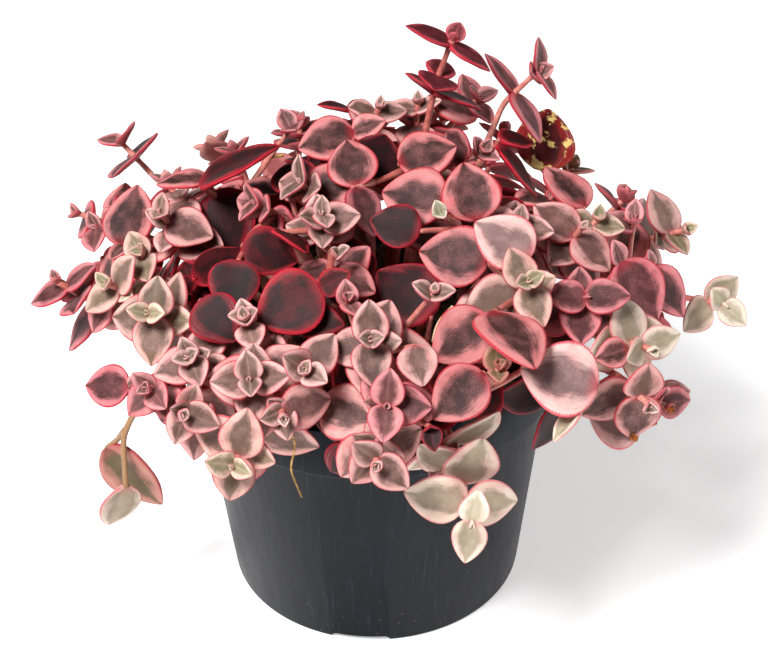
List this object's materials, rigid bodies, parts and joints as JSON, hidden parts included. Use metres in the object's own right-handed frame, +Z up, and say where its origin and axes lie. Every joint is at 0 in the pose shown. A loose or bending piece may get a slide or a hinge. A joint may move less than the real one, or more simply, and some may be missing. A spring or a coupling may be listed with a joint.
{
  "type": "potted crassula marginalis",
  "caption": "Trailing variegated succulent with small pointed leaves in pairs along thin branching stems, standing in soil in a round tapered plastic nursery pot.",
  "frame": {"origin": "middle of the pot's underside, on the surface that it stands on", "axes": "+Z up along the pot's axis, -Y towards the side that the reference picture shows"},
  "size_m": [0.2167, 0.1887, 0.1688],
  "materials": {
    "pot_plastic": "dark charcoal, faintly scuffed injection-moulded plastic",
    "soil": "matte, crumbly",
    "foliage": "smooth, waxy leaf: pink, cream, lime and crimson"
  },
  "bodies": {
    "root": {"pot": "pot_plastic", "soil": "soil", "stem_01": "foliage", "stem_02": "foliage", "stem_03": "foliage", "stem_04": "foliage", "stem_05": "foliage", "stem_06": "foliage", "stem_07": "foliage", "stem_08": "foliage", "stem_09": "foliage", "stem_10": "foliage", "stem_11": "foliage", "stem_12": "foliage", "stem_13": "foliage", "stem_14": "foliage", "stem_15": "foliage", "stem_16": "foliage", "stem_17": "foliage", "stem_18": "foliage", "stem_19": "foliage", "stem_20": "foliage", "stem_21": "foliage", "stem_22": "foliage", "stem_23": "foliage", "stem_24": "foliage", "stem_25": "foliage", "stem_26": "foliage", "stem_27": "foliage", "stem_28": "foliage", "stem_29": "foliage", "stem_30": "foliage", "stem_31": "foliage", "stem_32": "foliage", "stem_33": "foliage", "stem_34": "foliage", "stem_35": "foliage", "stem_36": "foliage", "stem_37": "foliage", "stem_38": "foliage", "stem_39": "foliage", "stem_40": "foliage", "stem_41": "foliage", "stem_42": "foliage", "stem_43": "foliage", "stem_44": "foliage", "stem_45": "foliage", "stem_46": "foliage", "stem_47": "foliage", "stem_48": "foliage", "stem_49": "foliage", "stem_50": "foliage", "stem_51": "foliage", "stem_52": "foliage", "stem_53": "foliage", "stem_54": "foliage", "stem_55": "foliage"}
  },
  "joints": []
}
